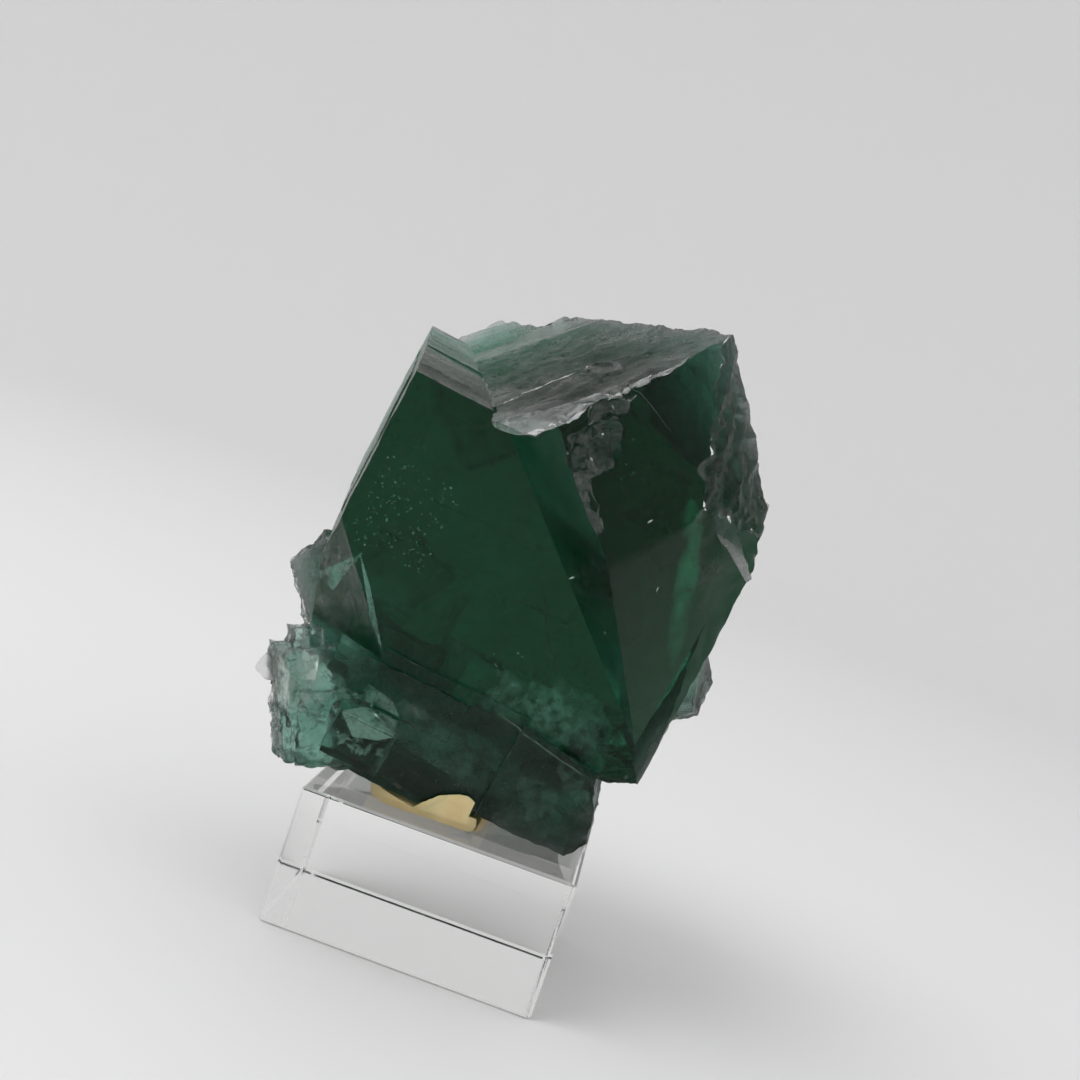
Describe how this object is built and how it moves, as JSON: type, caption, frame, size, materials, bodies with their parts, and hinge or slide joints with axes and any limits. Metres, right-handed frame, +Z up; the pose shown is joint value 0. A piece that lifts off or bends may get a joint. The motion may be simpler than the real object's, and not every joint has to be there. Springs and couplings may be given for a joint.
{
  "type": "fluorite crystal cluster on clear base",
  "caption": "Intergrown green fluorite cubes, a broad crystal and its twin with small cubes at their foot, pressed in tack on a clear acrylic block that stands upright.",
  "frame": {"origin": "centre of the clear block's flat underside", "axes": "+Z up, -Y towards the display side, +X to the right as seen from the display side"},
  "size_m": [0.0324, 0.037, 0.0484],
  "materials": {
    "fluorite_cluster": "clear deep green crystal, smooth bright faces with frosted and broken ones",
    "mineral_tack": "soft cream-yellow tack",
    "acrylic_base": "clear acrylic, polished"
  },
  "bodies": {
    "root": {"fluorite_cluster": "fluorite_cluster", "mineral_tack": "mineral_tack", "acrylic_base": "acrylic_base"}
  },
  "joints": []
}
